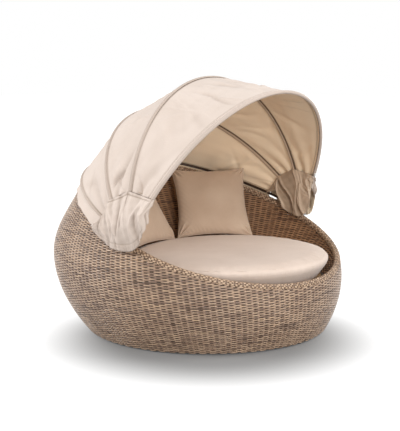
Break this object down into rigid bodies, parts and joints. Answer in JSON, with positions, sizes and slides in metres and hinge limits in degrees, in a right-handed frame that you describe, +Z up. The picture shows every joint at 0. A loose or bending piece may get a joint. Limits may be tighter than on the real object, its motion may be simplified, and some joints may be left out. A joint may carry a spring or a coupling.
{
  "type": "outdoor daybed with canopy",
  "caption": "Round woven rattan daybed with a thick round seat cushion, scatter cushions and a folding cloth hood on hinged hoops.",
  "frame": {"origin": "on the floor, under the middle of the overall bounding box", "axes": "+Z up; the open front of the seat faces -Y; the hood hinges turn about the X axis direction"},
  "size_m": [1.7998, 1.821, 1.5558],
  "materials": {
    "outer_rattan": "woven flat synthetic rattan strands, mixed honey, taupe and grey brown",
    "inner_rattan": "woven flat synthetic rattan strands, darker brown",
    "rim_rattan": "braided synthetic rattan strands",
    "frame_tube": "welded tube, satin",
    "hoop_tube": "powder coated dark brown tube",
    "bright_metal": "stainless fittings",
    "dark_plastic": "moulded, matte",
    "panel_board": "sealed board",
    "hood_cloth": "plain woven outdoor cloth, cream",
    "seat_fabric": "plain woven outdoor cloth, pale beige",
    "scatter_fabric": "plain woven outdoor cloth, khaki beige"
  },
  "bodies": {
    "base": {"outer_weave": "outer_rattan", "inner_weave": "inner_rattan", "rim_band": "rim_rattan", "rim_tube": "frame_tube", "base_ring": "frame_tube", "seat_ring": "frame_tube", "seat_panel": "panel_board", "hem_hoop": "hoop_tube", "hem_skirt": "hood_cloth", "rear_gore": "hood_cloth", "corner_panel_left": "hood_cloth", "corner_panel_right": "hood_cloth", "hem_clip_left": "dark_plastic", "hem_clip_rear": "dark_plastic", "hem_clip_right": "dark_plastic", "rib_1": "frame_tube", "rib_2": "frame_tube", "rib_3": "frame_tube", "rib_4": "frame_tube", "rib_5": "frame_tube", "rib_6": "frame_tube", "rib_7": "frame_tube", "rib_8": "frame_tube", "seat_leg_1": "frame_tube", "seat_leg_2": "frame_tube", "seat_leg_3": "frame_tube", "seat_leg_4": "frame_tube", "seat_leg_5": "frame_tube", "floor_glide_1": "dark_plastic", "floor_glide_2": "dark_plastic", "floor_glide_3": "dark_plastic", "floor_glide_4": "dark_plastic", "floor_glide_5": "dark_plastic", "seat_slat_1": "frame_tube", "seat_slat_2": "frame_tube", "seat_slat_3": "frame_tube", "seat_slat_4": "frame_tube", "seat_slat_5": "frame_tube", "hinge_bracket_left": "frame_tube", "hinge_bolt_left": "bright_metal", "hinge_nut_left": "bright_metal", "inner_washer_left": "dark_plastic", "outer_washer_left": "dark_plastic", "hinge_bracket_right": "frame_tube", "hinge_bolt_right": "bright_metal", "hinge_nut_right": "bright_metal", "inner_washer_right": "dark_plastic", "outer_washer_right": "dark_plastic"},
    "back_hoop": {"back_hoop": "hoop_tube", "middle_gore": "hood_cloth"},
    "crown_hoop": {"crown_hoop": "hoop_tube", "front_gore": "hood_cloth"},
    "front_hoop": {"front_hoop": "hoop_tube", "front_hoop_ferrule_left": "bright_metal", "front_hoop_ferrule_right": "bright_metal"},
    "seat_cushion": {"seat_cushion": "seat_fabric"},
    "centre_scatter_cushion": {"centre_scatter_cushion": "scatter_fabric"},
    "left_scatter_cushion": {"left_scatter_cushion": "scatter_fabric"}
  },
  "joints": [
    {"name": "back_hoop_hinge", "type": "hinge", "parent": "base", "child": "back_hoop", "pos_m": [0, -0.213, 0.651], "axis": [-1, 0, 0], "range_deg": [0, 16], "deforming": ["rear_gore", "corner_panel_left", "corner_panel_right"]},
    {"name": "crown_hoop_hinge", "type": "hinge", "parent": "back_hoop", "child": "crown_hoop", "pos_m": [0, -0.213, 0.651], "axis": [-1, 0, 0], "range_deg": [0, 28.7], "deforming": ["middle_gore", "corner_panel_left", "corner_panel_right"]},
    {"name": "front_hoop_hinge", "type": "hinge", "parent": "crown_hoop", "child": "front_hoop", "pos_m": [0, -0.213, 0.651], "axis": [-1, 0, 0], "range_deg": [0, 31.7], "deforming": ["front_gore", "corner_panel_left", "corner_panel_right"]},
    {"name": "seat_cushion_lift", "type": "slide", "parent": "base", "child": "seat_cushion", "axis": [0, 0, 1], "range_m": [0, 0.08]},
    {"name": "centre_scatter_cushion_lift", "type": "slide", "parent": "seat_cushion", "child": "centre_scatter_cushion", "axis": [0, -0.9, 0.4359], "range_m": [0, 0.15]},
    {"name": "left_scatter_cushion_lift", "type": "slide", "parent": "seat_cushion", "child": "left_scatter_cushion", "axis": [0, -0.9, 0.4359], "range_m": [0, 0.15]}
  ]
}
